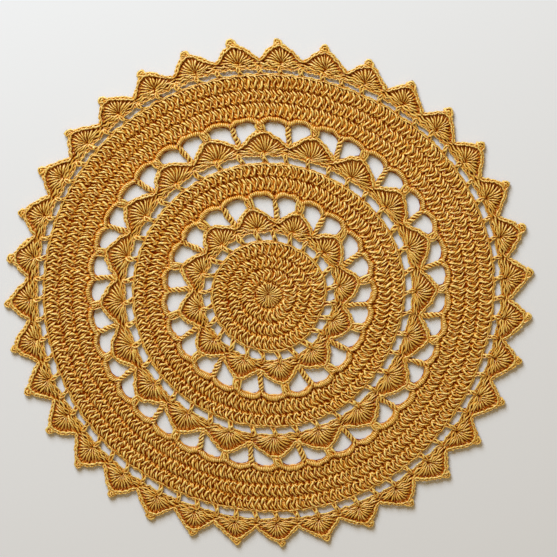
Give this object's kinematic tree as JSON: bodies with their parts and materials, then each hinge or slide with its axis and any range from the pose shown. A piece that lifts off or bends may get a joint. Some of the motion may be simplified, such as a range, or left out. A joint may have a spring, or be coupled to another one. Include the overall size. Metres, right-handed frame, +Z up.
{
  "type": "lace doily",
  "caption": "Round crocheted table doily that lies flat: dense rings of stitches with open lace between them and a pointed fan edging.",
  "frame": {"origin": "middle of the rim, on the flat underside", "axes": "+Z up through the cloth, +Y and +X in the cloth's plane"},
  "size_m": [0.3206, 0.3174, 0.0027],
  "materials": {
    "cotton": "golden mercerised cotton yarn, soft sheen"
  },
  "bodies": {
    "root": {"doily": "cotton"}
  },
  "joints": []
}
